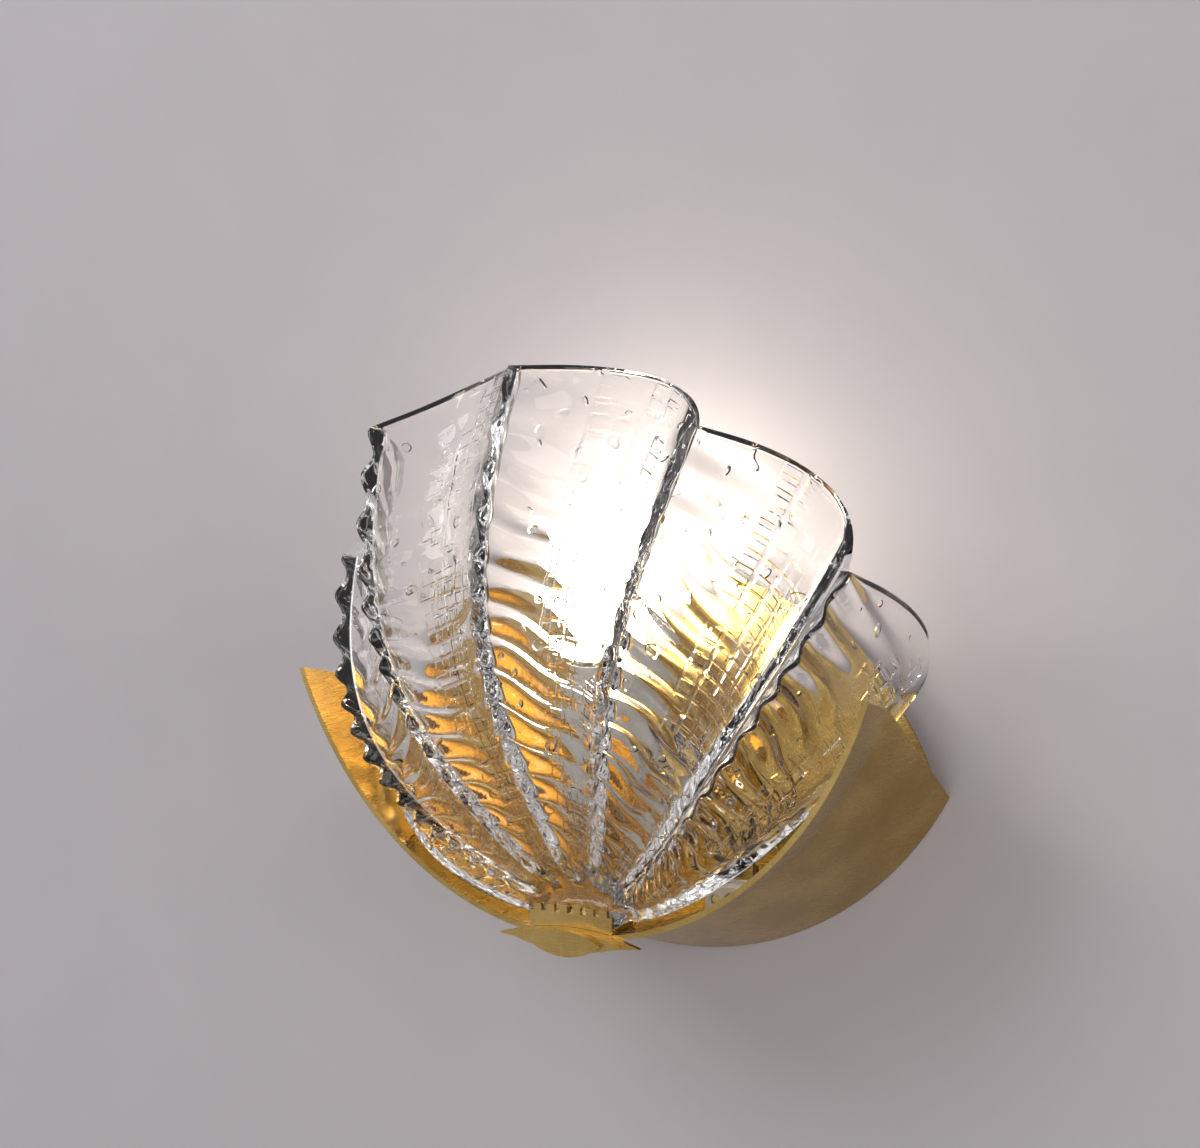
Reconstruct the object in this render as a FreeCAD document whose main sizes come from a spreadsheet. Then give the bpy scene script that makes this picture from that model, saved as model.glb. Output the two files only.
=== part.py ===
import FreeCAD, Part
import math
import os

import Sketcher
from FreeCAD import Rotation, Vector

# Shell wall light: a clear scallop of pressed glass stands in a brass bracket
# on the wall, with one upright lamp behind it.
# Frame: X to the right, the wall is the plane Y = 0 and the room is at -Y,
# Z up.  The origin is the centre of the wall bar's back face.  Millimetres.

doc = FreeCAD.newDocument("shell_wall_light")
sizes = doc.addObject("Spreadsheet::Sheet", "sizes")
pieces = []


# ---------------------------------------------------------------- sizes

# wall bar and its studs
bar_length = 92
bar_width = 20
bar_thick = 2
wall_screw_spacing = 72
wall_screw_slot_width = 4.5
wall_screw_slot_length = 12
cable_hole_radius = 6
stud_spacing = 44
stud_radius = 2
stud_head_radius = 3.5
stud_head_thick = 1
hole_clearance = 0.25

# back plate
plate_gap = 9
plate_thick = 1.5
plate_top = 83
plate_edge_gap = 0.3

# bracket arms: the front lip and the wall edge are arcs of two ellipses
arm_thick = 2
lip_depth = 81
lip_half_width = 124.5
lip_half_height = 145
lip_sweep = 68
lip_below_origin = 45
crease_from_lip = 20
wall_edge_half_width = 128
wall_edge_half_height = 136.5
wall_edge_sweep = 59
wall_edge_drop = 22
arm_joint_gap = 0.1

# hinge cap, three steps of a shell's hinge
cap_step_thick = 1.7
cap_width_large = 58
cap_width_middle = 44
cap_width_small = 30
cap_rise = 4.5
cap_drop_large = 2
cap_drop_middle = 3.5
cap_drop_small = 5

# glass shell
glass_wall = 5
glass_root_depth = 72
glass_root_above_lip = 3
glass_reach = 198.6
glass_bulge = 39.3
glass_bulge_skew = 1.15
glass_lean = 19.4
glass_side_wrap = 89.9
glass_middle_wrap = 12
glass_side_shortening = 0.375
flute_depth = 17
fan_step = 20.43
fan_closing = 0.282
fan_bow = 0.58
glass_root_start = 0.07
glass_foot_width = 34
glass_foot_thick = 10

# glass tray and pads
tray_wall = 1.5
tray_clearance = 0.8
tray_floor = 1.5
tray_side_height = 4.5
tooth_width = 3.2
tooth_height = 2.5
tooth_gap = 2.2
pad_thick = 0.8
clip_width = 9
clip_height = 10
clip_thick = 1.2
clip_station = 0.52
clip_play = 0.4

# lampholder and its bracket
holder_depth = 46
holder_base = 3
holder_radius = 13.5
holder_height = 44
holder_floor = 5
shell_thread_radius = 7.25
shell_wall = 0.8
shell_play = 0.1
contact_play = 0.3
shell_length = 22
contact_width = 4
contact_thick = 0.6
shelf_width = 26
shelf_thick = 1.5
shelf_leg = 28
shelf_screw_spacing = 12
nipple_radius = 5
nipple_bore = 3.5
nipple_below = 7
nipple_nut_across = 14
nipple_nut_thick = 3

# lamp
lamp_radius = 22.5
lamp_length = 78
lamp_glass_wall = 1
lamp_neck_radius = 11
lamp_cap_radius = 6.9
lamp_cap_length = 19
lamp_cap_collar = 11.6
lamp_contact_radius = 2.6
lamp_contact_length = 1.6
lamp_contact_seat = 0.4
lamp_insulator_length = 3
filament_radius = 0.9
filament_length = 24
filament_circle = 5

# terminal block, wires and small hardware
block_length = 22
block_height = 10
block_depth = 13
block_centre_across = 34
block_bottom = -46
wire_radius = 1.15
terminal_screw_radius = 1.8
washer_radius = 4.5
washer_thick = 0.8
nut_across = 7
nut_length = 8
nut_wall = 2
small_screw_radius = 1.5
small_screw_head_radius = 2.8
small_screw_head_thick = 1.8
small_nut_across = 5.5
small_nut_thick = 2.2
grommet_across = 25
grommet_height = -15.5
grommet_radius = 5.5
grommet_lip = 1.8
grommet_lip_thick = 1.4
grommet_bore = 3.6
earth_across = -34
earth_height = -20


def write_sheet():
    """Give each size named above a row of the sheet: its name and its number."""
    named = {alias: value for alias, value in globals().items() if type(value) in (int, float)}
    for row, (alias, value) in enumerate(named.items(), 1):
        sizes.set(f"A{row}", alias)
        sizes.set(f"B{row}", str(value))
        sizes.setAlias(f"B{row}", alias)
    doc.recompute()


write_sheet()


def read(alias):
    """The number that a named size holds now."""
    return float(sizes.get(alias))


# ---------------------------------------------------------------- helpers

def bind(thing, **formulas):
    """Tie properties of an object to formulas on the sheet."""
    for prop, formula in formulas.items():
        thing.setExpression(prop, formula)
    return thing


def place(thing, across="0", out="0", up="0"):
    """Put an object at across (X), out (distance from the wall) and up (Z)."""
    thing.setExpression("Placement.Base.x", across)
    thing.setExpression("Placement.Base.y", f"-1 * ({out})")
    thing.setExpression("Placement.Base.z", up)
    return thing


def keep(thing, label):
    """Name a finished piece; it becomes a node of its own."""
    thing.Label = label
    pieces.append(thing)
    return thing


def rod(name, radius, length, across, out, up, toward="room"):
    """A round bar whose first end is at the given point, running one way."""
    turn = {
        "room": Rotation(Vector(1, 0, 0), 90),
        "up": Rotation(),
        "right": Rotation(Vector(0, 1, 0), 90),
    }
    thing = doc.addObject("Part::Cylinder", name)
    thing.Placement.Rotation = turn[toward]
    bind(thing, Radius=radius, Height=length)
    return place(thing, across, out, up)


def block(name, length, depth, height, across, out, up):
    """A box whose left, wall-side, lower corner is at the given point."""
    thing = doc.addObject("Part::Box", name)
    bind(thing, Length=length, Width=depth, Height=height)
    return place(thing, across, f"({out}) + ({depth})", up)


def hexagon(name, across_flats, length, across, out, up, toward="room"):
    """A hexagon bar, sized across its flats."""
    thing = doc.addObject("Part::Prism", name)
    thing.Polygon = 6
    if toward == "room":
        thing.Placement.Rotation = Rotation(Vector(1, 0, 0), 90)
    bind(thing, Circumradius=f"({across_flats}) / sqrt(3)", Height=length)
    return place(thing, across, out, up)


def cut(name, base, *tools):
    """What is left of base after the tools are taken away."""
    for number, tool in enumerate(tools):
        result = doc.addObject("Part::Cut", f"{name}_cut_{number}")
        result.Base = base
        result.Tool = tool
        base = result
    return base


def fuse(name, *shapes):
    """Several shapes joined into one solid."""
    result = doc.addObject("Part::MultiFuse", name)
    result.Shapes = list(shapes)
    result.Refine = True
    return result


def group(label, *shapes):
    """Identical small pieces kept as separate solids in one node."""
    result = doc.addObject("Part::Compound", label)
    result.Links = list(shapes)
    return keep(result, label)


def feature(label, shape):
    """A piece whose shape comes from a formula."""
    thing = doc.addObject("Part::Feature", label)
    thing.Shape = shape
    thing.Placement = FreeCAD.Placement()
    return keep(thing, label)


def origin_plane(body, role):
    for plane in body.Origin.OriginFeatures:
        if plane.Role == role:
            return plane
    raise RuntimeError(role)


def sketch(body, role, name):
    thing = body.newObject("Sketcher::SketchObject", name)
    thing.AttachmentSupport = (origin_plane(body, role), [""])
    thing.MapMode = "FlatFace"
    return thing


def number(formula):
    """What a formula on the sheet comes to, in millimetres."""
    result = sizes.evalExpression(formula)
    return float(getattr(result, "Value", result))


def hold(drawing, kind, geometry, point, formula):
    """Fix one coordinate of a sketch point to a formula on the sheet."""
    constraint = Sketcher.Constraint(kind, -1, 1, geometry, point, number(formula))
    index = drawing.addConstraint(constraint)
    drawing.setExpression(f"Constraints[{index}]", formula)


def draw_polygon(drawing, corners):
    """A closed outline with straight sides; every corner is tied to the sheet."""
    spots = [Vector(number(x), number(y), 0) for x, y in corners]
    lines = []
    for here, there in zip(spots, spots[1:] + spots[:1]):
        lines.append(drawing.addGeometry(Part.LineSegment(here, there), False))
    for line, following in zip(lines, lines[1:] + lines[:1]):
        drawing.addConstraint(Sketcher.Constraint("Coincident", line, 2, following, 1))
    for line, (x, y) in zip(lines, corners):
        hold(drawing, "DistanceX", line, 1, x)
        hold(drawing, "DistanceY", line, 1, y)


def draw_circle(drawing, x, y, radius):
    """A circle whose centre and radius are tied to the sheet."""
    centre = Vector(number(x), number(y), 0)
    ring = drawing.addGeometry(Part.Circle(centre, Vector(0, 0, 1), number(radius)), False)
    hold(drawing, "DistanceX", ring, 3, x)
    hold(drawing, "DistanceY", ring, 3, y)
    index = drawing.addConstraint(Sketcher.Constraint("Radius", ring, number(radius)))
    drawing.setExpression(f"Constraints[{index}]", radius)


def draw_slot(drawing, x, half_straight, radius):
    """A level slot with round ends, centred at height zero."""
    middle = number(x)
    half = number(half_straight)
    end = number(radius)
    quarter = math.pi / 2
    axis = Vector(0, 0, 1)
    left = Part.Circle(Vector(middle - half, 0, 0), axis, end)
    right = Part.Circle(Vector(middle + half, 0, 0), axis, end)
    left_end = drawing.addGeometry(Part.ArcOfCircle(left, quarter, 3 * quarter), False)
    right_end = drawing.addGeometry(Part.ArcOfCircle(right, -quarter, quarter), False)
    low = Part.LineSegment(Vector(middle - half, -end, 0), Vector(middle + half, -end, 0))
    high = Part.LineSegment(Vector(middle + half, end, 0), Vector(middle - half, end, 0))
    bottom = drawing.addGeometry(low, False)
    top = drawing.addGeometry(high, False)
    for first, point, second, other in (
        (left_end, 2, bottom, 1),
        (bottom, 2, right_end, 1),
        (right_end, 2, top, 1),
        (top, 2, left_end, 1),
    ):
        drawing.addConstraint(Sketcher.Constraint("Tangent", first, point, second, other))
    hold(drawing, "DistanceX", left_end, 3, f"{x} - ({half_straight})")
    hold(drawing, "DistanceX", right_end, 3, f"{x} + ({half_straight})")
    drawing.addConstraint(Sketcher.Constraint("PointOnObject", left_end, 3, -1))
    index = drawing.addConstraint(Sketcher.Constraint("Radius", left_end, end))
    drawing.setExpression(f"Constraints[{index}]", radius)


def pad(body, drawing, length):
    thing = body.newObject("PartDesign::Pad", f"{drawing.Name}_pad")
    thing.Profile = drawing
    thing.setExpression("Length", length)
    drawing.Visibility = False
    return thing


def pocket(body, drawing, depth, reverse=True):
    """A cut that runs from the sketch toward the room."""
    thing = body.newObject("PartDesign::Pocket", f"{drawing.Name}_pocket")
    thing.Profile = drawing
    thing.Reversed = reverse
    thing.setExpression("Length", depth)
    return thing


def turned(label, corners):
    """A piece turned on a lathe: corners are (radius, height) pairs."""
    body = doc.addObject("PartDesign::Body", label)
    drawing = sketch(body, "XZ_Plane", f"{label}_half")
    draw_polygon(drawing, corners)
    thing = body.newObject("PartDesign::Revolution", f"{label}_turn")
    thing.Profile = drawing
    thing.ReferenceAxis = (drawing, ["V_Axis"])
    thing.Angle = 360
    body.Tip = thing
    return body


# ---------------------------------------------------------------- wall bar

def make_wall_bar():
    """Steel bar screwed to the wall through two slots; it carries two studs."""
    body = doc.addObject("PartDesign::Body", "wall_bar")
    outline = sketch(body, "XZ_Plane", "bar_outline")
    half = "sizes.bar_length / 2"
    rise = "sizes.bar_width / 2"
    corners = [(f"-1 * {half}", f"-1 * {rise}"), (half, f"-1 * {rise}")]
    corners += [(half, rise), (f"-1 * {half}", rise)]
    draw_polygon(outline, corners)
    pad(body, outline, "sizes.bar_thick")
    holes = sketch(body, "XZ_Plane", "bar_holes")
    slot_end = "sizes.wall_screw_slot_width / 2"
    straight = "(sizes.wall_screw_slot_length - sizes.wall_screw_slot_width) / 2"
    draw_slot(holes, "-0.5 * sizes.wall_screw_spacing", straight, slot_end)
    draw_slot(holes, "0.5 * sizes.wall_screw_spacing", straight, slot_end)
    draw_circle(holes, "0", "0", "sizes.cable_hole_radius")
    stud_hole = "sizes.stud_radius + 0.5 * sizes.hole_clearance"
    draw_circle(holes, "-0.5 * sizes.stud_spacing", "0", stud_hole)
    draw_circle(holes, "0.5 * sizes.stud_spacing", "0", stud_hole)
    pocket(body, holes, "sizes.bar_thick")
    seats = sketch(body, "XZ_Plane", "stud_head_seats")
    seat = "sizes.stud_head_radius + 0.5 * sizes.hole_clearance"
    draw_circle(seats, "-0.5 * sizes.stud_spacing", "0", seat)
    draw_circle(seats, "0.5 * sizes.stud_spacing", "0", seat)
    body.Tip = pocket(body, seats, "sizes.stud_head_thick")
    keep(body, "wall_bar")


def make_studs_and_nuts():
    """Two studs come out of the bar; washers and cap nuts hold the plate on them."""
    plate_face = "(sizes.plate_gap + sizes.plate_thick)"
    nut_seat = f"{plate_face} + sizes.washer_thick"
    studs = []
    washers = []
    nuts = []
    for side, sign in (("left", "-1"), ("right", "1")):
        across = f"{sign} * sizes.stud_spacing / 2"
        head = rod(f"stud_head_{side}", "sizes.stud_head_radius", "sizes.stud_head_thick",
                   across, "0", "0")
        reach = f"{nut_seat} + sizes.nut_length - 2 * sizes.nut_wall"
        shank = rod(f"stud_shank_{side}", "sizes.stud_radius", reach, across, "0", "0")
        studs.append(fuse(f"stud_{side}", head, shank))
        ring = rod(f"washer_disc_{side}", "sizes.washer_radius", "sizes.washer_thick",
                   across, plate_face, "0")
        hole = "sizes.stud_radius + 0.5 * sizes.hole_clearance"
        eye = rod(f"washer_eye_{side}", hole, "sizes.washer_thick", across, plate_face, "0")
        washers.append(cut(f"washer_{side}", ring, eye))
        hexed = hexagon(f"nut_hexagon_{side}", "sizes.nut_across",
                        "sizes.nut_length / 2", across, nut_seat, "0")
        dome = rod(f"nut_dome_{side}", "0.46 * sizes.nut_across", "sizes.nut_length / 2",
                   across, f"{nut_seat} + sizes.nut_length / 2", "0")
        whole = fuse(f"nut_blank_{side}", hexed, dome)
        thread = rod(f"nut_thread_{side}", "sizes.stud_radius + 0.02",
                     "sizes.nut_length - sizes.nut_wall", across, nut_seat, "0")
        nuts.append(cut(f"nut_{side}", whole, thread))
    group("wall_studs", *studs)
    group("cap_nut_washers", *washers)
    group("cap_nuts", *nuts)


# ---------------------------------------------------------------- bracket

def station(back):
    """The arms' outer ellipse at a distance back from the wall plane:
    half width, half height and the height of its lowest point."""
    crease = read("lip_depth") - read("crease_from_lip")
    share = max(0.0, 1.0 - back / crease)
    wide = read("lip_half_width")
    high = read("lip_half_height")
    low = -read("lip_below_origin")
    wide += share * (read("wall_edge_half_width") - wide)
    high += share * (read("wall_edge_half_height") - high)
    low -= share * read("wall_edge_drop")
    return wide, high, low


def arm_curve(back, sweep, inset):
    """One long edge of the right arm, from the middle joint to its tip."""
    wide, high, low = station(back)
    start = math.degrees(math.asin(read("arm_joint_gap") / 2 / (wide - inset)))
    steps = 10
    spots = []
    for step in range(steps + 1):
        turn = math.radians(start + (sweep - start) * step / steps)
        across = (wide - inset) * math.sin(turn)
        up = low + high - (high - inset) * math.cos(turn)
        spots.append(Vector(across, -back, up))
    curve = Part.BSplineCurve()
    curve.interpolate(spots)
    return curve.toShape()


def end_face(first, second, third, fourth):
    """A flat-sided closing face between four corners."""
    return Part.makeRuledSurface(Part.makeLine(first, second), Part.makeLine(fourth, third))


def make_arms():
    """Two brass arms: flared behind the crease, straight from it to the lip."""
    thick = read("arm_thick")
    lip = read("lip_depth")
    crease = lip - read("crease_from_lip")
    wall_sweep = read("wall_edge_sweep")
    lip_sweep = read("lip_sweep")
    crease_sweep = wall_sweep + (lip_sweep - wall_sweep) * crease / lip
    outer = [arm_curve(0, wall_sweep, 0)]
    outer.append(arm_curve(crease, crease_sweep, 0))
    outer.append(arm_curve(lip, lip_sweep, 0))
    inner = [arm_curve(0, wall_sweep, thick)]
    inner.append(arm_curve(crease, crease_sweep, thick))
    inner.append(arm_curve(lip, lip_sweep, thick))
    ring = outer + inner[::-1]
    faces = []
    for edge, following in zip(ring, ring[1:] + ring[:1]):
        faces.append(Part.makeRuledSurface(edge, following))
    for end in (0, -1):
        out = [edge.Vertexes[end].Point for edge in outer]
        ins = [edge.Vertexes[end].Point for edge in inner]
        for first in (0, 1):
            faces.append(end_face(out[first], out[first + 1], ins[first + 1], ins[first]))
    right = feature("right_arm", closed_solid(faces))
    left = doc.addObject("Part::Mirroring", "left_arm")
    left.Source = right
    left.Normal = Vector(1, 0, 0)
    left.Base = Vector(0, 0, 0)
    keep(left, "left_arm")


def closed_solid(faces):
    """Sew faces that share their edges into one solid."""
    shell = Part.Compound(faces)
    shell.sewShape(0.001)
    solid = Part.Solid(shell.Shells[0])
    if solid.Volume < 0:
        solid.reverse()
    return solid


def ellipse_disc(wide, high, low, near, far):
    """A flat elliptical block between two distances from the wall."""
    middle = Vector(0, -near, low + high)
    side = middle + Vector(wide, 0, 0)
    top = middle + Vector(0, 0, high)
    major, minor = (side, top) if wide >= high else (top, side)
    edge = Part.Ellipse(major, minor, middle).toShape()
    face = Part.Face(Part.Wire([edge]))
    return face.extrude(Vector(0, near - far, 0))


def make_back_plate():
    """Brass plate inside the arms: their curve below, a round crown above."""
    near = read("plate_gap")
    far = near + read("plate_thick")
    wide, high, low = station(far)
    inset = read("arm_thick") + read("plate_edge_gap")
    disc = ellipse_disc(wide - inset, high - inset, low + inset, near, far)
    tip = math.radians(read("wall_edge_sweep"))
    corner_across = wide * math.sin(tip)
    corner_up = low + high * (1 - math.cos(tip))
    drop = read("plate_top") - corner_up
    crown = (corner_across ** 2 + drop ** 2) / (2 * drop)
    centre = Vector(0, -near, read("plate_top") - crown)
    plate = disc.common(Part.makeCylinder(crown, far - near, centre, Vector(0, -1, 0)))
    holes = []
    stud_hole = read("stud_radius") + read("hole_clearance")
    holes.append((read("stud_spacing") / 2, 0, stud_hole))
    holes.append((-read("stud_spacing") / 2, 0, stud_hole))
    holes.append((read("grommet_across"), read("grommet_height"), read("grommet_radius")))
    small = read("small_screw_radius") + read("hole_clearance") / 2
    holes.append((read("earth_across"), read("earth_height"), small))
    for up in shelf_screw_heights():
        holes.append((0, up, small))
    block_screw_up = read("block_bottom") + read("block_height") / 2
    holes.append((read("block_centre_across"), block_screw_up, small))
    for across, up, radius in holes:
        start = Vector(across, -near + 1, up)
        plate = plate.cut(Part.makeCylinder(radius, far - near + 2, start, Vector(0, -1, 0)))
    feature("back_plate", plate.Solids[0])


def make_hinge_cap():
    """Three stepped ovals at the middle of the lip, like the hinge of a shell."""
    body = doc.addObject("PartDesign::Body", "hinge_cap")
    for level, grade in enumerate(("large", "middle", "small")):
        drawing = sketch(body, "XZ_Plane", f"cap_{grade}")
        reach = f"sizes.lip_depth + {level} * sizes.cap_step_thick"
        drawing.setExpression("AttachmentOffset.Base.z", reach)
        draw_oval(drawing, f"sizes.cap_width_{grade} / 2", "sizes.cap_rise",
                  f"sizes.cap_drop_{grade}", "-1 * sizes.lip_below_origin")
        body.Tip = pad(body, drawing, "sizes.cap_step_thick")
    keep(body, "hinge_cap")


def draw_oval(drawing, half, rise, drop, middle):
    """A pointed oval: a low arc above and a deeper arc below one level line."""
    arcs = []
    for height, sign in ((rise, 1), (drop, -1)):
        radius = f"(pow({half}; 2) + pow({height}; 2)) / (2 * {height})"
        centre = f"{middle} + {sign} * ({height} - {radius})"
        hub = Vector(0, number(centre), 0)
        size_now = number(radius)
        lean = math.asin(number(half) / size_now)
        turn = math.pi / 2 * sign
        circle = Part.Circle(hub, Vector(0, 0, 1), size_now)
        arc = drawing.addGeometry(Part.ArcOfCircle(circle, turn - lean, turn + lean), False)
        if sign > 0:
            drawing.addConstraint(Sketcher.Constraint("PointOnObject", arc, 3, -2))
        index = drawing.addConstraint(Sketcher.Constraint("Radius", arc, size_now))
        drawing.setExpression(f"Constraints[{index}]", radius)
        arcs.append(arc)
    upper, lower = arcs
    drawing.addConstraint(Sketcher.Constraint("Coincident", upper, 2, lower, 1))
    drawing.addConstraint(Sketcher.Constraint("Coincident", lower, 2, upper, 1))
    hold(drawing, "DistanceX", upper, 1, half)
    hold(drawing, "DistanceY", upper, 1, middle)
    hold(drawing, "DistanceY", upper, 2, middle)


# ---------------------------------------------------------------- glass

def fan_angle(rib):
    """Lean of a rib from upright at the rim; whole numbers are the folds."""
    return math.radians(read("fan_step") * rib - read("fan_closing") * rib ** 3)


def glass_point(rib, along, flute):
    """A point on the room side of the glass.  along runs from the root (0)
    to the rim (1), flute from -1 on a fold to 1 in the middle of a lobe."""
    lean = fan_angle(rib)
    spread = lean * (1 + read("fan_bow") * (1 - along))
    reach = read("glass_reach") * (1 - read("glass_side_shortening") * lean ** 2) * along
    swell = math.sin(math.pi * along ** read("glass_bulge_skew"))
    out = read("glass_root_depth") + read("glass_bulge") * swell
    out += read("glass_lean") * along
    out -= read("glass_side_wrap") * along * lean ** 2
    out -= read("glass_middle_wrap") * math.sin(math.pi * along) * lean ** 2
    out -= read("flute_depth") * along * flute
    root_up = read("glass_root_above_lip") - read("lip_below_origin")
    return Vector(reach * math.sin(spread), -out, root_up + reach * math.cos(spread))


def glass_inward(rib, along):
    """Direction through the glass wall, away from the room."""
    step = 0.01
    side = glass_point(rib + step, along, 0) - glass_point(rib - step, along, 0)
    rise = glass_point(rib, along + step, 0) - glass_point(rib, along - step, 0)
    return rise.cross(side).normalize()


def patch(poles, degree_along, degree_across):
    """A smooth face over a grid of control points."""
    face = Part.BSplineSurface()
    rows = len(poles)
    columns = len(poles[0])

    def knots(count, degree):
        inner = count - degree - 1
        marks = [step / (inner + 1) for step in range(inner + 2)]
        repeats = [degree + 1] + [1] * inner + [degree + 1]
        return marks, repeats

    row_marks, row_repeats = knots(rows, degree_along)
    column_marks, column_repeats = knots(columns, degree_across)
    face.buildFromPolesMultsKnots(poles, row_repeats, column_repeats, row_marks,
                                  column_marks, False, False, degree_along, degree_across)
    return face.toShape()


def side_start():
    """How far along its length the side edge leaves the end of the foot."""
    lean = fan_angle(3)
    reach = read("glass_reach") * (1 - read("glass_side_shortening") * lean ** 2)
    along = 0.1
    for turn in range(20):
        spread = lean * (1 + read("fan_bow") * (1 - along))
        along = read("glass_foot_width") / 2 / (reach * math.sin(spread))
    return along


def root_start(rib):
    """How far along its length a rib leaves the foot."""
    middle = read("glass_root_start")
    return middle + (side_start() - middle) * (rib / 3) ** 2


def at_depth(spot, out):
    return Vector(spot.x, -out, spot.z)


def glass_columns(lobe, share):
    """Control points across one lobe, on its room side and its wall side."""
    wall = read("glass_wall")
    front = foot_middle_out() + read("glass_foot_thick") / 2
    back = foot_middle_out() - read("glass_foot_thick") / 2
    outside = []
    through = []
    for column, flute in enumerate((-1.0, 5 / 3, 5 / 3, -1.0)):
        rib = lobe + column / 3
        start = root_start(rib)
        along = start + (1 - start) * share
        outside.append(glass_point(rib, along, flute))
        through.append(glass_inward(rib, along))
    if share == 0:
        return [at_depth(spot, front) for spot in outside], [at_depth(spot, back) for spot in outside]
    square_to_flank(lobe, share, outside, through)
    inside = [spot + way * wall for spot, way in zip(outside, through)]
    for end_lobe, edge in ((-3, 0), (2, 3)):
        if lobe == end_lobe:
            inside[edge] = outside[edge]
            outside[edge] = outside[edge] - through[edge] * wall
    return outside, inside


def square_to_flank(lobe, share, outside, through):
    """Turn the glass wall at a free side edge square to its own flank; it
    grows toward the middle there, so that it keeps clear of the arms."""
    step = 0.01
    for end_lobe, edge, neighbour, rib in ((-3, 0, 1, -3), (2, 3, 2, 3)):
        if lobe == end_lobe:
            along = root_start(rib) + (1 - root_start(rib)) * share
            rise = glass_point(rib, along + step, -1) - glass_point(rib, along - step, -1)
            across = outside[max(edge, neighbour)] - outside[min(edge, neighbour)]
            square = rise.cross(across).normalize()
            through[neighbour] = (through[neighbour] + square).normalize()
            through[edge] = square


def lobe_poles(lobe):
    """Rows of control points, root to rim, on both sides of one lobe."""
    rows = 16
    outer = []
    inner = []
    for row in range(rows):
        low = max(0, row - 2)
        high = min(rows - 3, row)
        outside, inside = glass_columns(lobe, (low + high) / 2 / (rows - 3))
        outer.append(outside)
        inner.append(inside)
    return outer, inner


def root_curve(poles):
    """The edge along which one side of a lobe meets the foot."""
    curve = Part.BezierCurve()
    curve.setPoles(poles)
    return curve.toShape()


def flat_face(edges):
    """A level or upright plane face inside a ring of edges."""
    return Part.Face(Part.Wire(Part.sortEdges(edges)[0]))


def foot_faces(roots):
    """The foot hangs straight down from the root, level underneath.  roots
    holds the rows of control points that the lobes start from, room side
    and wall side, from left to right."""
    half = read("glass_foot_width") / 2
    faces = []
    ends = []
    for rows in roots:
        out = rows[0][0].y
        low_left = Vector(-half, out, foot_bottom())
        low_right = Vector(half, out, foot_bottom())
        high_left = rows[0][0]
        high_right = rows[-1][-1]
        edges = [root_curve(row) for row in rows]
        edges.append(Part.makeLine(high_right, low_right))
        edges.append(Part.makeLine(low_right, low_left))
        edges.append(Part.makeLine(low_left, high_left))
        faces.append(flat_face(edges))
        ends.append((low_left, high_left, low_right, high_right))
    front, back = ends
    for low, high in ((0, 1), (2, 3), (0, 2)):
        ring = [front[low], front[high], back[high], back[low]]
        faces.append(Part.Face(Part.makePolygon(ring + ring[:1])))
    return faces


def make_glass_shell():
    """Six flutes between sharp folds, pressed in one piece with a foot."""
    faces = []
    roots = [[], []]
    lobes = range(-3, 3)
    for lobe in lobes:
        outer, inner = lobe_poles(lobe)
        roots[0].append(outer[0])
        roots[1].append(inner[0])
        faces.append(patch(outer, 3, 3))
        faces.append(patch(inner, 3, 3))
        faces.append(patch([outer[-1], inner[-1]], 1, 3))
        for end, column in ((lobes[0], 0), (lobes[-1], -1)):
            if lobe == end:
                side = [[out[column], ins[column]] for out, ins in zip(outer, inner)]
                faces.append(patch(side, 3, 1))
    feature("glass_shell", closed_solid(foot_faces(roots) + faces))


# ---------------------------------------------------------------- glass tray

def foot_middle_out():
    """How far from the wall the middle of the glass foot stands."""
    return (read("lip_depth") - read("tray_wall") - read("tray_clearance")
            - read("glass_foot_thick") / 2 - 0.2)


def tray_low():
    """Lowest height at which a flat tray clears the curved arms."""
    wide, high, low = station(read("lip_depth"))
    thick = read("arm_thick")
    half = read("glass_foot_width") / 2 / (wide - thick)
    return low + high - (high - thick) * math.sqrt(1 - half ** 2)


def foot_bottom():
    return tray_low() + read("tray_floor") + read("pad_thick")


def make_glass_tray():
    """Brass channel on the arms that the glass foot stands in; its front wall
    ends in teeth."""
    length = read("glass_foot_width")
    half_gap = read("glass_foot_thick") / 2 + read("tray_clearance")
    front = foot_middle_out() + half_gap
    back = foot_middle_out() - half_gap
    wall = read("tray_wall")
    low = tray_low()
    rim = low + read("tray_floor") + read("tray_side_height")
    left = -length / 2
    whole = Part.makeBox(length, front - back + 2 * wall, rim - low, Vector(left, -front - wall, low))
    channel = Part.makeBox(length, front - back, rim - low,
                           Vector(left, -front, low + read("tray_floor")))
    tray = whole.cut(channel)
    pitch = read("tooth_width") + read("tooth_gap")
    count = int((length + read("tooth_gap")) // pitch)
    first = -(count * pitch - read("tooth_gap")) / 2
    for tooth in range(count):
        corner = Vector(first + tooth * pitch, -front - wall, rim)
        tray = tray.fuse(Part.makeBox(read("tooth_width"), wall, read("tooth_height"), corner))
    # two feet under the ends reach down to the curved arms
    wide, high, bottom = station(read("lip_depth"))
    thick = read("arm_thick")
    inset = thick + 0.02
    hollow = ellipse_disc(wide - inset, high - inset, bottom + inset, back - wall, front + wall)
    sole = Part.makeBox(length, front - back + 2 * wall, low - bottom - thick,
                        Vector(left, -front - wall, bottom + thick))
    tray = tray.fuse(sole.common(hollow))
    feature("glass_tray", tray.removeSplitter().Solids[0])


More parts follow.
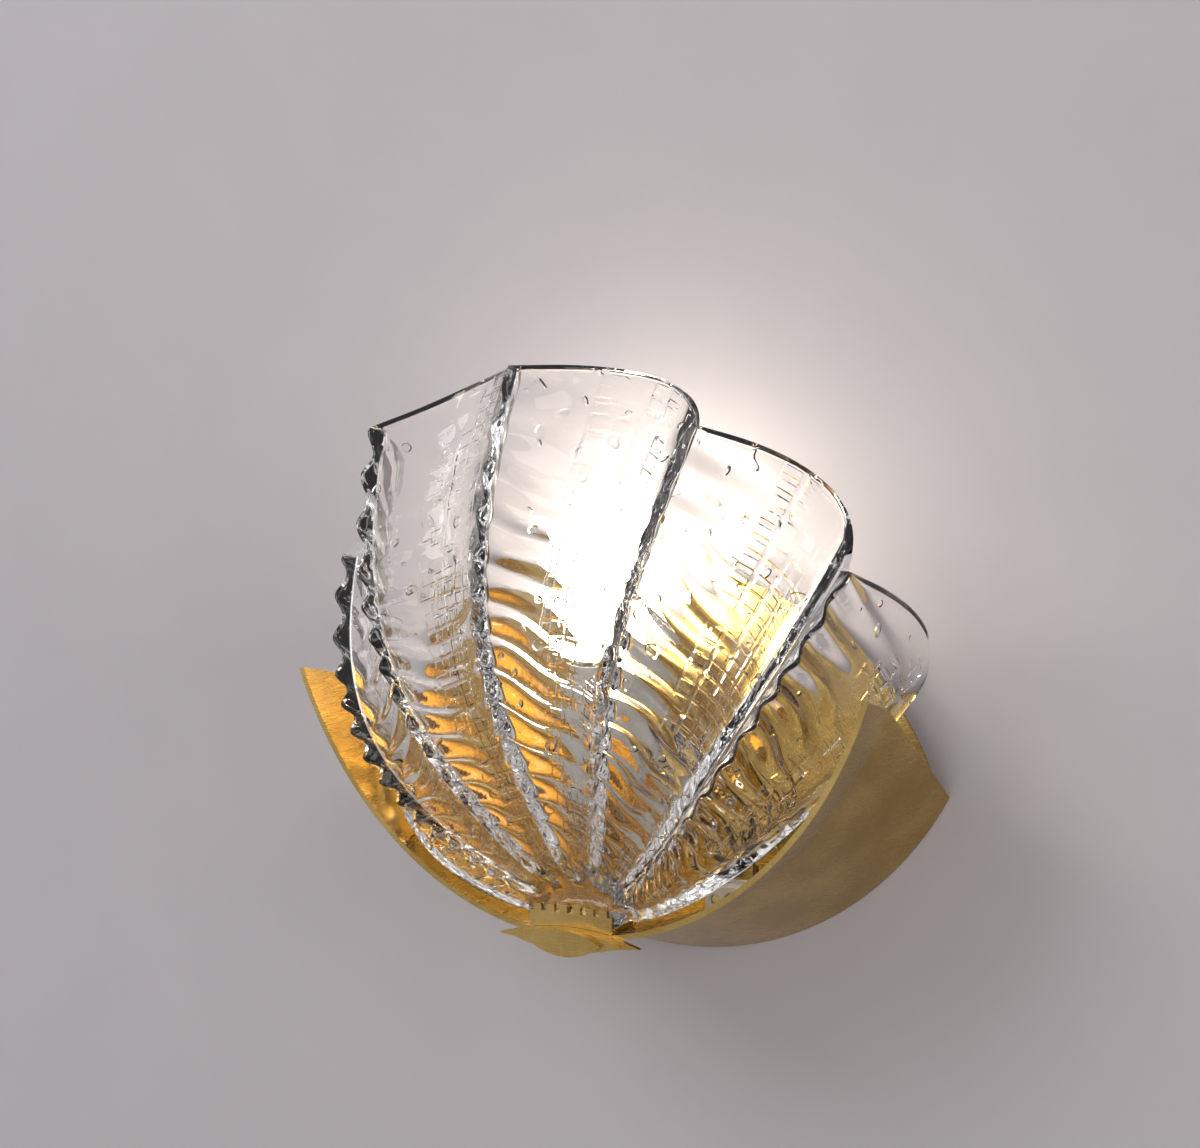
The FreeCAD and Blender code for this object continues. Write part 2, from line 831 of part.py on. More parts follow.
def make_foot_liner():
    """Soft liner between the glass foot and the brass channel."""
    length = read("glass_foot_width") - 2 * read("pad_thick")
    play = 0.05
    thick = read("tray_clearance") - play
    half = read("glass_foot_thick") / 2 + read("tray_clearance")
    middle = foot_middle_out()
    floor = tray_low() + read("tray_floor")
    whole = Part.makeBox(length, 2 * half, read("tray_side_height"),
                         Vector(-length / 2, -middle - half, floor))
    room = Part.makeBox(length, 2 * (half - thick), read("tray_side_height"),
                        Vector(-length / 2, -middle - half + thick, floor + read("pad_thick") - play))
    feature("foot_liner", whole.cut(room))


def make_side_clips():
    """A small brass seat on each arm, with a soft pad under the glass edge."""
    along = read("clip_station")
    across = 0.9
    step = 0.02
    outer, inner = lobe_poles(2)
    skin = patch(inner, 3, 3).Surface
    seat = skin.value(along, across)
    ahead = (skin.value(along + step, across) - skin.value(along - step, across)).normalize()
    outward = skin.value(along, across + step) - skin.value(along, across - step)
    away = ahead.cross(outward).normalize()
    if away.y < 0:
        away = away.negative()
    inward = ahead.cross(away)
    width = read("clip_width")
    height = read("clip_height")
    thick = read("clip_thick")
    pad_thick = read("pad_thick")
    swell = 0
    for part in range(9):
        for share in range(5):
            spot = skin.value(along + (part - 4) * 0.012, 0.8 + 0.05 * share)
            swell = max(swell, (spot - seat).dot(away))
    gap = read("clip_play") + swell
    back = -(seat + away * gap).y
    wide, high, low = station(back)
    inset = read("arm_thick") + 0.02
    hollow = ellipse_disc(wide - inset, high - inset, low + inset, back - 20, back + 20)

    def plank(length, depth, span, corner):
        """A flat block: length runs along the glass edge, depth away from the
        glass toward the arm, and span across the edge."""
        box = Part.makeBox(length, depth, span, corner)
        box.Placement = FreeCAD.Placement(FreeCAD.Matrix(
            ahead.x, away.x, inward.x, seat.x,
            ahead.y, away.y, inward.y, seat.y,
            ahead.z, away.z, inward.z, seat.z,
            0, 0, 0, 1)) * box.Placement
        return box

    half = height / 4
    soft = plank(width - 1, pad_thick, 2 * half, Vector(0.5 - width / 2, gap, -half))
    seat_plate = plank(width, thick, 2 * half, Vector(-width / 2, gap + pad_thick, -half))
    post = plank(width - 2, 3 * height, thick,
                 Vector(1 - width / 2, gap + pad_thick, -half))
    clip = seat_plate.fuse(post).removeSplitter().common(hollow)
    right_clip = feature("right_glass_clip", clip.Solids[0])
    right_pad = doc.addObject("Part::Feature", "right_pad")
    right_pad.Shape = soft
    left_clip = doc.addObject("Part::Mirroring", "left_glass_clip")
    left_clip.Source = right_clip
    left_clip.Normal = Vector(1, 0, 0)
    keep(left_clip, "left_glass_clip")
    left_pad = doc.addObject("Part::Mirroring", "left_pad")
    left_pad.Source = right_pad
    left_pad.Normal = Vector(1, 0, 0)
    group("clip_pads", right_pad, left_pad)


# ---------------------------------------------------------------- lampholder

def shelf_screw_heights():
    """Heights of the two screws in the holder bracket's leg."""
    middle = read("holder_base") - read("shelf_leg") * 0.6
    half = read("shelf_screw_spacing") / 2
    return middle - half, middle + half


def make_holder_bracket():
    """Angle bracket: a leg screwed to the back plate and a level shelf."""
    plate_face = "(sizes.plate_gap + sizes.plate_thick)"
    shelf_end = "sizes.holder_depth + sizes.shelf_width / 2"
    low_face = "sizes.holder_base - sizes.shelf_thick"
    left = "-1 * sizes.shelf_width / 2"
    shelf = block("bracket_shelf", "sizes.shelf_width", f"{shelf_end} - {plate_face}",
                  "sizes.shelf_thick", left, plate_face, low_face)
    leg = block("bracket_leg", "sizes.shelf_width", "sizes.shelf_thick",
                "sizes.shelf_leg", left, plate_face,
                "sizes.holder_base - sizes.shelf_leg")
    angle = fuse("bracket_angle", shelf, leg)
    tools = [rod("nipple_hole", "sizes.nipple_radius + 0.5 * sizes.hole_clearance",
                 "sizes.shelf_thick", "0", "sizes.holder_depth", low_face, "up")]
    for place_name, sign in (("lower", "-1"), ("upper", "1")):
        up = shelf_screw_formula(sign)
        tools.append(rod(f"bracket_hole_{place_name}",
                         "sizes.small_screw_radius + 0.5 * sizes.hole_clearance",
                         "sizes.shelf_thick", "0", plate_face, up))
    keep(cut("holder_bracket", angle, *tools), "holder_bracket")


def shelf_screw_formula(sign):
    return (f"sizes.holder_base - 0.6 * sizes.shelf_leg "
            f"+ {sign} * sizes.shelf_screw_spacing / 2")


def small_screw(name, across, head_seat, up, grip):
    """Round-headed screw: the head lies on the room side of head_seat."""
    head = rod(f"{name}_head", "sizes.small_screw_head_radius",
               "sizes.small_screw_head_thick", across, head_seat, up)
    shank = rod(f"{name}_shank", "sizes.small_screw_radius", grip, across,
                f"{head_seat} - ({grip})", up)
    return fuse(name, head, shank)


def make_bracket_screws():
    """Two screws and nuts clamp the holder bracket to the back plate."""
    plate_face = "sizes.plate_gap + sizes.plate_thick"
    screws = []
    nuts = []
    for spot, sign in (("lower", "-1"), ("upper", "1")):
        up = shelf_screw_formula(sign)
        grip = ("sizes.shelf_thick + sizes.plate_thick + sizes.small_nut_thick + 1")
        screws.append(small_screw(f"bracket_screw_{spot}", "0",
                                  f"{plate_face} + sizes.shelf_thick", up, grip))
        nuts.append(small_nut(f"bracket_nut_{spot}", "0", up))
    group("bracket_screws", *screws)
    group("bracket_nuts", *nuts)


def small_nut(name, across, up):
    """Hexagon nut on the wall side of the back plate."""
    seat = "sizes.plate_gap - sizes.small_nut_thick"
    blank = hexagon(f"{name}_blank", "sizes.small_nut_across", "sizes.small_nut_thick",
                    across, seat, up)
    hole = rod(f"{name}_thread", "sizes.small_screw_radius + 0.02",
               "sizes.small_nut_thick", across, seat, up)
    return cut(name, blank, hole)


def make_lampholder():
    """Threaded nipple, its nut, the holder body and the contacts inside it."""
    out = "sizes.holder_depth"
    base = "sizes.holder_base"
    under = f"{base} - sizes.shelf_thick - sizes.nipple_below"
    tube = rod("nipple_tube", "sizes.nipple_radius",
               "sizes.nipple_below + sizes.shelf_thick + sizes.holder_floor",
               "0", out, under, "up")
    way = rod("nipple_way", "sizes.nipple_bore",
              "sizes.nipple_below + sizes.shelf_thick + sizes.holder_floor",
              "0", out, under, "up")
    keep(cut("nipple", tube, way), "threaded_nipple")
    seat = f"{base} - sizes.shelf_thick - sizes.nipple_nut_thick"
    blank = hexagon("nipple_nut_blank", "sizes.nipple_nut_across",
                    "sizes.nipple_nut_thick", "0", out, seat, "up")
    hole = rod("nipple_nut_thread", "sizes.nipple_radius + 0.02",
               "sizes.nipple_nut_thick", "0", out, seat, "up")
    keep(cut("nipple_nut", blank, hole), "nipple_nut")

    bore = "sizes.shell_thread_radius + sizes.shell_wall + sizes.shell_play"
    body = turned("lampholder_body", [
        ("sizes.nipple_radius + 0.5 * sizes.hole_clearance", "0"),
        ("sizes.holder_radius", "0"),
        ("sizes.holder_radius", "sizes.holder_height"),
        (bore, "sizes.holder_height"),
        (bore, "sizes.holder_floor"),
        ("sizes.nipple_radius + 0.5 * sizes.hole_clearance", "sizes.holder_floor"),
    ])
    entry = sketch(body, "YZ_Plane", "wire_entry")
    draw_circle(entry, "0", "sizes.holder_floor + 9", "sizes.wire_radius + 3.4")
    opening = body.newObject("PartDesign::Pocket", "wire_entry_pocket")
    opening.Profile = entry
    opening.Reversed = True
    opening.setExpression("Length", "sizes.holder_radius")
    body.Tip = opening
    place(body, "0", out, base)
    keep(body, "lampholder_body")

    socket = turned("socket_shell", [
        ("sizes.shell_thread_radius", "0"),
        ("sizes.shell_thread_radius + sizes.shell_wall", "0"),
        ("sizes.shell_thread_radius + sizes.shell_wall", "sizes.shell_length"),
        ("sizes.shell_thread_radius", "sizes.shell_length"),
    ])
    place(socket, "0", out, f"{base} + sizes.holder_height - sizes.shell_length")
    keep(socket, "socket_shell")

    # the contact leaf stands on the floor and ends just under the lamp
    height = ("sizes.holder_height - sizes.lamp_cap_length - sizes.lamp_contact_length"
              " + sizes.lamp_contact_seat - sizes.holder_floor - sizes.contact_play")
    leaf = block("contact_leaf", "sizes.contact_width", "sizes.contact_thick", height,
                 "-0.5 * sizes.contact_width", f"{out} + sizes.nipple_radius",
                 f"{base} + sizes.holder_floor")
    tongue = block("contact_tongue", "sizes.contact_width",
                   "sizes.nipple_radius + sizes.contact_thick", "sizes.contact_thick",
                   "-0.5 * sizes.contact_width", out,
                   f"{base} + sizes.holder_floor + {height} - sizes.contact_thick")
    keep(fuse("contact_spring", leaf, tongue), "centre_contact")


# ---------------------------------------------------------------- lamp

def lamp_base():
    """Height of the lowest metal of the lamp's cap, without its contact."""
    return "(sizes.holder_base + sizes.holder_height - sizes.lamp_cap_length)"


def make_lamp():
    """Round screw-in lamp: cap, insulator, contact, glass and filaments."""
    out = "sizes.holder_depth"
    base = lamp_base()
    cap = turned("lamp_cap", [
        ("sizes.lamp_contact_radius + 1", "sizes.lamp_insulator_length"),
        ("sizes.lamp_cap_radius - 1.5", "sizes.lamp_insulator_length"),
        ("sizes.lamp_cap_radius", "sizes.lamp_insulator_length + 1.5"),
        ("sizes.lamp_cap_radius", "sizes.lamp_cap_length + 0.5"),
        ("sizes.lamp_cap_collar - 1.5", "sizes.lamp_cap_length + 2.5"),
        ("sizes.lamp_cap_collar", "sizes.lamp_cap_length + 4"),
        ("sizes.lamp_cap_collar - 0.6", "sizes.lamp_cap_length + 4"),
        ("sizes.lamp_contact_radius + 1", "sizes.lamp_cap_length + 2"),
    ])
    place(cap, "0", out, base)
    keep(cap, "lamp_cap")
    plug = turned("lamp_insulator", [
        ("sizes.lamp_contact_radius + 1", "sizes.lamp_contact_seat"),
        ("sizes.lamp_cap_radius - 1.5", "sizes.lamp_insulator_length"),
        ("0", "sizes.lamp_insulator_length"),
        ("0", "sizes.lamp_contact_seat"),
    ])
    place(plug, "0", out, base)
    keep(plug, "lamp_insulator")
    contact = rod("contact_button", "sizes.lamp_contact_radius",
                  "sizes.lamp_contact_length", "0", out,
                  f"{base} + sizes.lamp_contact_seat - sizes.lamp_contact_length", "up")
    keep(contact, "lamp_contact")

    middle_up = f"{base} + sizes.lamp_length - sizes.lamp_radius"
    neck_low = f"{base} + sizes.lamp_cap_length + 4"
    outside = lamp_envelope("outside", "sizes.lamp_radius", "sizes.lamp_neck_radius",
                            middle_up, neck_low)
    wall = "sizes.lamp_glass_wall"
    inside = lamp_envelope("inside", f"sizes.lamp_radius - {wall}",
                           f"sizes.lamp_neck_radius - {wall}", middle_up,
                           f"{neck_low} + {wall}")
    keep(cut("lamp_glass", outside, inside), "lamp_glass")

    rods = []
    count = 4
    for index in range(count):
        turn = math.radians(45 + 360 / count * index)
        across = f"{math.cos(turn):.4f} * sizes.filament_circle"
        away = f"{out} + {math.sin(turn):.4f} * sizes.filament_circle"
        rods.append(rod(f"filament_{index}", "sizes.filament_radius",
                        "sizes.filament_length", across, away,
                        f"{middle_up} - sizes.filament_length / 2", "up"))
    group("lamp_filaments", *rods)


def lamp_envelope(name, radius, neck, middle_up, neck_low):
    """A ball with a tapering neck down to the cap."""
    ball = doc.addObject("Part::Sphere", f"ball_{name}")
    bind(ball, Radius=radius)
    place(ball, "0", "sizes.holder_depth", middle_up)
    cone = doc.addObject("Part::Cone", f"neck_{name}")
    bind(cone, Radius1=neck, Radius2=f"0.86 * ({radius})",
         Height=f"{middle_up} - ({neck_low}) - 0.5 * ({radius})")
    place(cone, "0", "sizes.holder_depth", neck_low)
    return fuse(f"envelope_{name}", ball, cone)


# ---------------------------------------------------------------- wiring

def make_terminal_block():
    """Plastic block screwed to the plate; its two terminals face up."""
    plate_face = "(sizes.plate_gap + sizes.plate_thick)"
    across = "sizes.block_centre_across"
    shell = block("block_shell", "sizes.block_length", "sizes.block_depth",
                  "sizes.block_height", f"{across} - sizes.block_length / 2",
                  plate_face, "sizes.block_bottom")
    fixing_up = "sizes.block_bottom + sizes.block_height / 2"
    tools = [rod("block_fixing_hole", "sizes.small_screw_radius + 0.5 * sizes.hole_clearance",
                 "sizes.block_depth", across, plate_face, fixing_up),
             rod("block_fixing_seat", "sizes.small_screw_head_radius + 0.4",
                 "sizes.small_screw_head_thick + 0.4", across,
                 f"{plate_face} + sizes.block_depth - sizes.small_screw_head_thick - 0.4",
                 fixing_up)]
    sleeves = []
    screws = []
    face = f"{plate_face} + sizes.block_depth"
    middle_out = f"({plate_face} + sizes.block_depth / 2)"
    for side, sign in (("left", "-1"), ("right", "1")):
        at = f"{across} + {sign} * sizes.block_length / 3.25"
        tools.append(rod(f"terminal_way_{side}", "sizes.wire_radius + 1.4",
                         "sizes.block_height", at, middle_out, "sizes.block_bottom", "up"))
        tools.append(rod(f"terminal_hole_{side}", "sizes.terminal_screw_radius + 0.3",
                         "sizes.block_depth / 2", at, middle_out, fixing_up))
        tube = rod(f"sleeve_tube_{side}", "sizes.wire_radius + 1.3",
                   "sizes.block_height - 4", at, middle_out, "sizes.block_bottom + 2", "up")
        way = rod(f"sleeve_way_{side}", "sizes.wire_radius + 0.5",
                  "sizes.block_height - 4", at, middle_out, "sizes.block_bottom + 2", "up")
        sleeves.append(cut(f"sleeve_{side}", tube, way))
        screws.append(rod(f"terminal_screw_{side}", "sizes.terminal_screw_radius",
                          "sizes.block_depth / 2 - sizes.wire_radius - 2.4", at,
                          f"{face} - 0.8 - (sizes.block_depth / 2 - sizes.wire_radius - 2.4)",
                          fixing_up))
    keep(cut("block_body", shell, *tools), "terminal_block")
    group("terminal_sleeves", *sleeves)
    group("terminal_screws", *screws)
    seat = f"{face} - sizes.small_screw_head_thick - 0.4"
    grip = "sizes.block_depth + sizes.plate_thick + sizes.small_nut_thick - 1.2"
    keep(small_screw("block_screw", across, seat, fixing_up, grip), "block_screw")
    keep(small_nut("block_nut", across, fixing_up), "block_nut")


def tube_along(spots, radius):
    """A round tube on straight runs joined by tangent arcs."""
    edges = []
    here = spots[0]
    radii = []
    for before, corner, after in zip(spots, spots[1:], spots[2:]):
        back = (before - corner)
        forward = (after - corner)
        shorter = min(back.Length, forward.Length)
        turn = math.pi - back.getAngle(forward)
        trim = 0.45 * shorter
        bend = trim / math.tan(turn / 2)
        radii.append(round(bend, 1))
        back.normalize()
        forward.normalize()
        first = corner + back * trim
        last = corner + forward * trim
        inward = (back + forward).normalize()
        middle = corner + inward * (bend / math.cos(turn / 2) - bend)
        edges.append(Part.LineSegment(here, first).toShape())
        edges.append(Part.Arc(first, middle, last).toShape())
        here = last
    edges.append(Part.LineSegment(here, spots[-1]).toShape())
    path = Part.Wire(edges)
    direction = spots[1] - spots[0]
    ring = Part.Wire([Part.makeCircle(radius, spots[0], direction)])
    tube = path.makePipeShell([ring], True, False)
    if tube.Volume < 0:
        tube.reverse()
    ideal = math.pi * radius ** 2 * path.Length
    print("wire length", round(path.Length, 1), "radii", radii,
          "volume share", round(tube.Volume / ideal, 4))
    return tube


def make_wires():
    """Blue and brown leads from the holder's side entry to the terminals."""
    out = read("holder_depth")
    base = read("holder_base")
    entry_up = base + read("holder_floor") + 9
    across = read("block_centre_across")
    apart = read("block_length") / 3.25
    top = read("block_bottom") + read("block_height")
    middle_out = read("plate_gap") + read("plate_thick") + read("block_depth") / 2
    into = 6
    blue_end = across - apart
    brown_end = across + apart
    blue = [
        Vector(9.5, -out + 1.4, entry_up - 1.2),
        Vector(26, -out + 2.5, entry_up + 1.5),
        Vector(45, -out + 9, entry_up - 7),
        Vector(41, -out + 16, entry_up - 20),
        Vector(47.5, -out + 22, entry_up - 32),
        Vector(blue_end, -middle_out, top + 12),
        Vector(blue_end, -middle_out, top - into),
    ]
    brown = [
        Vector(9.5, -out - 1.6, entry_up + 1.2),
        Vector(26, -out - 3, entry_up + 5),
        Vector(46, -out + 3, entry_up + 3),
        Vector(60, -out + 13, entry_up - 13),
        Vector(55, -out + 21, entry_up - 29),
        Vector(brown_end, -middle_out, top + 14),
        Vector(brown_end, -middle_out, top - into),
    ]
    feature("blue_wire", tube_along(blue, read("wire_radius")))
    feature("brown_wire", tube_along(brown, read("wire_radius")))


def make_cable_grommet():
    """Rubber grommet that lines the cable hole in the back plate."""
    across = "sizes.grommet_across"
    up = "sizes.grommet_height"
    near = "sizes.plate_gap - sizes.grommet_lip_thick"
    whole = "sizes.plate_thick + 2 * sizes.grommet_lip_thick"
    neck = rod("grommet_neck", "sizes.grommet_radius - 0.1", whole, across, near, up)
    wall_lip = rod("grommet_wall_lip", "sizes.grommet_radius + sizes.grommet_lip",
                   "sizes.grommet_lip_thick", across, near, up)
    room_lip = rod("grommet_room_lip", "sizes.grommet_radius + sizes.grommet_lip",
                   "sizes.grommet_lip_thick", across, "sizes.plate_gap + sizes.plate_thick", up)
    bore = rod("grommet_way", "sizes.grommet_bore", whole, across, near, up)
    keep(cut("grommet_ring", fuse("grommet_blank", neck, wall_lip, room_lip), bore),
         "cable_grommet")


def make_earth_point():
    """Earth screw with a washer under its head and a nut behind the plate."""
    across = "sizes.earth_across"
    up = "sizes.earth_height"
    plate_face = "sizes.plate_gap + sizes.plate_thick"
    ring = rod("earth_disc", "sizes.washer_radius", "sizes.washer_thick", across,
               plate_face, up)
    hole = rod("earth_eye", "sizes.small_screw_radius + 0.5 * sizes.hole_clearance",
               "sizes.washer_thick", across, plate_face, up)
    keep(cut("earth_ring", ring, hole), "earth_washer")
    grip = "sizes.washer_thick + sizes.plate_thick + sizes.small_nut_thick + 1"
    keep(small_screw("earth_bolt", across, f"{plate_face} + sizes.washer_thick", up, grip),
         "earth_screw")
    keep(small_nut("earth_hexagon", across, up), "earth_nut")


# ---------------------------------------------------------------- build

make_wall_bar()
make_studs_and_nuts()
make_arms()
make_back_plate()
make_hinge_cap()
make_glass_shell()
make_glass_tray()
make_foot_liner()
make_side_clips()
make_holder_bracket()
make_bracket_screws()
make_lampholder()
make_lamp()
make_terminal_block()
make_wires()
make_cable_grommet()
make_earth_point()
doc.recompute()

for item in doc.Objects:
    if "Invalid" in item.State or "Error" in item.State:
        raise RuntimeError(f"{item.Label} failed: {item.State}")
for piece in pieces:
    if piece.Shape.isNull() or not piece.Shape.isValid() or not piece.Shape.Solids:
        raise RuntimeError(f"{piece.Label} has no sound shape")

os.makedirs("parts", exist_ok=True)
for piece in pieces:
    piece.Shape.exportStep(f"parts/{piece.Label}.step")
    box = piece.Shape.BoundBox
    print(f"{piece.Label:18s} solids {len(piece.Shape.Solids)} volume {piece.Shape.Volume:9.1f}"
          f"  x {box.XMin:7.1f} {box.XMax:7.1f}  y {box.YMin:7.1f} {box.YMax:7.1f}"
          f"  z {box.ZMin:7.1f} {box.ZMax:7.1f}")
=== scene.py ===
# %% [markdown]
# # A shell wall light
# The real object is a brass bracket on a wall, with a pressed glass scallop
# standing in front of one round lamp.  The hard parts come ready made from the
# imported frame; this lesson dresses them with finishes, builds the glass again
# with its fine relief, and lights it all like a small photo studio.

# %% Load the frame
import bpy
import bmesh
import math
from mathutils import Matrix, Vector


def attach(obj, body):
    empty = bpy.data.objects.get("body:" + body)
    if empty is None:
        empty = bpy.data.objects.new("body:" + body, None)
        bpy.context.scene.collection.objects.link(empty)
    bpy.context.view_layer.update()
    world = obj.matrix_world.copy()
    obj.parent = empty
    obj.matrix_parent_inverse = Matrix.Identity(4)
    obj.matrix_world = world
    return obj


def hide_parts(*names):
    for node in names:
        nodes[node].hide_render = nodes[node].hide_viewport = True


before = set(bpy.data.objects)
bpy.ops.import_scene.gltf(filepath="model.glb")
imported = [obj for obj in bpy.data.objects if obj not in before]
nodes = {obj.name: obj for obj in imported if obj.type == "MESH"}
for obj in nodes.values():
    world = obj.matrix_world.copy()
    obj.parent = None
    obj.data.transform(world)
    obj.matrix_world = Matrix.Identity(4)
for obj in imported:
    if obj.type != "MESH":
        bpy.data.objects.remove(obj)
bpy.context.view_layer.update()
MM = 0.001
print("nodes", len(nodes))

# %% [markdown]
# ## The camera
# The photographer stood to the right of the light, a little above its middle,
# and held the camera slightly turned.  The lens and the small shift come from
# matching the folds of the glass, so the picture lines up with the photograph.

# %% Camera
look_at = Vector((0, -60, 60)) * MM
yaw = math.radians(31.28)
rise = math.radians(7.43)
back = Vector((math.sin(yaw) * math.cos(rise), -math.cos(yaw) * math.cos(rise), math.sin(rise)))
right = Vector((math.cos(yaw), math.sin(yaw), 0))
camera_data = bpy.data.cameras.new("photo_camera")
camera_data.sensor_width = 36
camera_data.lens = 36 * 2274.56 / 1200
camera_data.shift_x = (600 - 592.33) / 1200
camera_data.shift_y = (636.27 - 574) / 1200
camera = bpy.data.objects.new("photo_camera", camera_data)
bpy.context.scene.collection.objects.link(camera)
axes = Matrix((right, back.cross(right), back)).transposed().to_4x4()
turned = axes @ Matrix.Rotation(math.radians(-1.72), 4, "Z")
camera.matrix_world = Matrix.Translation(look_at + back * 0.8044) @ turned
bpy.context.scene.camera = camera
bpy.context.scene.view_settings.view_transform = "Standard"

# %% [markdown]
# ## Writing materials as sums
# A node tree is easier to read as arithmetic.  `Value` wraps one output socket,
# and its operators add the Math nodes, so `1 - mask` or `wave * 0.3` just work.

# %% A small language for materials
class Value:
    """One output socket that can be added, multiplied and compared."""

    def __init__(self, finish, socket):
        self.finish = finish
        self.socket = socket

    def math(self, operation, *others, swap=False):
        inputs = (others[0], self) if swap else (self,) + others
        return self.finish.node("ShaderNodeMath", {"operation": operation}, inputs)

    def __add__(self, other):
        return self.math("ADD", other)

    __radd__ = __add__

    def __sub__(self, other):
        return self.math("SUBTRACT", other)

    def __rsub__(self, other):
        return self.math("SUBTRACT", other, swap=True)

    def __mul__(self, other):
        return self.math("MULTIPLY", other)

    __rmul__ = __mul__

    def __lt__(self, other):
        return self.math("LESS_THAN", other)


class Finish:
    """A material under construction."""

    def __init__(self, name):
        self.material = bpy.data.materials.new(name)
        self.material.use_nodes = True
        self.tree = self.material.node_tree
        self.shader = self.tree.nodes["Principled BSDF"]
        self.output = self.tree.nodes["Material Output"]

    def node(self, kind, settings, inputs, output=0):
        """One node: its settings first, then numbers or links for its sockets."""
        made = self.tree.nodes.new(kind)
        for name, value in settings.items():
            if name == "stops":
                ramp = made.color_ramp
                while len(ramp.elements) < len(value):
                    ramp.elements.new(0.5)
                for element, (place, shade) in zip(ramp.elements, value):
                    element.position = place
                    element.color = (*shade, 1)
            else:
                setattr(made, name, value)
        pairs = inputs.items() if isinstance(inputs, dict) else enumerate(inputs)
        for place, value in pairs:
            if isinstance(value, Value):
                self.tree.links.new(value.socket, made.inputs[place])
            else:
                made.inputs[place].default_value = value
        return Value(self, made.outputs[output])

    def place(self, scale=(1, 1, 1)):
        """Object coordinates in millimetres, stretched by scale."""
        where = self.node("ShaderNodeTexCoord", {}, {}, "Object")
        size = [1000 * part for part in scale]
        return self.node("ShaderNodeMapping", {}, {"Vector": where, "Scale": size})

    def noise(self, where, scale, detail=3.0):
        """Cloudy values from 0 to 1; scale counts blotches per millimetre."""
        sockets = {"Vector": where, "Scale": scale, "Detail": detail}
        return self.node("ShaderNodeTexNoise", {}, sockets)

    def ramp(self, value, *stops):
        return self.node("ShaderNodeValToRGB", {"stops": stops}, [value])

    def set(self, **values):
        """Constants or links for the shader's own sockets."""
        for name, value in values.items():
            socket = self.shader.inputs[name.replace("_", " ")]
            if isinstance(value, Value):
                self.tree.links.new(value.socket, socket)
            else:
                socket.default_value = value
        return self

    def bump(self, height, distance, strength=1.0):
        """Small relief; distance is the height of a full step in metres."""
        sockets = {"Height": height, "Distance": distance, "Strength": strength}
        normal = self.node("ShaderNodeBump", {}, sockets)
        return self.set(Normal=normal)


def dress(finish, *names):
    """Give CAD nodes a finish."""
    for name in names:
        mesh = nodes[name].data
        mesh.materials.clear()
        mesh.materials.append(finish.material)


# %% [markdown]
# ## Brass
# The bracket is sheet brass with a satin, slightly aged face.  Real satin brass
# is never even: there are cloudy darker patches, a fine grain left by brushing,
# and a roughness that wanders.  Metal takes nearly all its look from what it
# mirrors, so the colour is written a little lighter than it seems.

# %% Satin brass
def brass_finish(name, deep, bright, rough, grain):
    finish = Finish(name)
    clouds = finish.noise(finish.place(), 0.035, 4.0)
    specks = finish.noise(finish.place(), 0.6, 2.0)
    strokes = finish.noise(finish.place((0.05, 0.05, 1.6)), 1.4, 3.0)
    tone = clouds * 0.75 + specks * 0.25
    finish.set(Base_Color=finish.ramp(tone, (0.35, deep), (0.65, bright)))
    finish.set(Metallic=1.0, Roughness=clouds * 0.14 + strokes * 0.12 + (rough - 0.13))
    return finish.bump(strokes * 0.7 + specks * 0.3, grain, 0.5)


satin_brass = brass_finish("satin_brass", (0.42, 0.28, 0.085), (0.60, 0.42, 0.15), 0.27, 0.00004)
plain_brass = brass_finish("plain_brass", (0.60, 0.42, 0.12), (0.80, 0.60, 0.20), 0.24, 0.00002)
dress(satin_brass, "left_arm", "right_arm", "back_plate", "hinge_cap", "glass_tray",
      "left_glass_clip", "right_glass_clip", "cap_nuts", "cap_nut_washers")
dress(plain_brass, "earth_screw", "earth_washer", "earth_nut", "terminal_sleeves",
      "centre_contact", "socket_shell")

# %% [markdown]
# ## Zinc plated steel
# Screws, nuts, the wall bar and the holder's bracket are plain plated steel: a
# cool grey with faint cloudy spangle.

# %% Zinc steel
zinc = Finish("zinc_steel")
spangle = zinc.noise(zinc.place(), 0.4, 3.0)
zinc.set(Base_Color=zinc.ramp(spangle, (0.3, (0.42, 0.43, 0.45)), (0.7, (0.66, 0.67, 0.69))))
zinc.set(Metallic=1.0, Roughness=spangle * 0.25 + 0.22)
zinc.bump(spangle, 0.00003, 0.4)
dress(zinc, "wall_bar", "wall_studs", "holder_bracket", "bracket_screws", "bracket_nuts",
      "block_screw", "block_nut", "nipple_nut", "threaded_nipple", "terminal_screws")

# %% [markdown]
# ## Plastics, rubber and the leads
# The lampholder and the terminal block are matt moulded plastic with a faint
# grain.  The leads have a soft shiny jacket; the grommet is dull black rubber,
# and the pads under the glass are milky silicone.

# %% Moulded finishes
def moulded(name, low, high, rough, scale=0.5, coat=0.0):
    finish = Finish(name)
    mottle = finish.noise(finish.place(), scale, 4.0)
    finish.set(Base_Color=finish.ramp(mottle, (0.3, low), (0.7, high)))
    finish.set(Roughness=mottle * 0.12 + rough, Coat_Weight=coat)
    return finish.bump(mottle, 0.00004, 0.4)


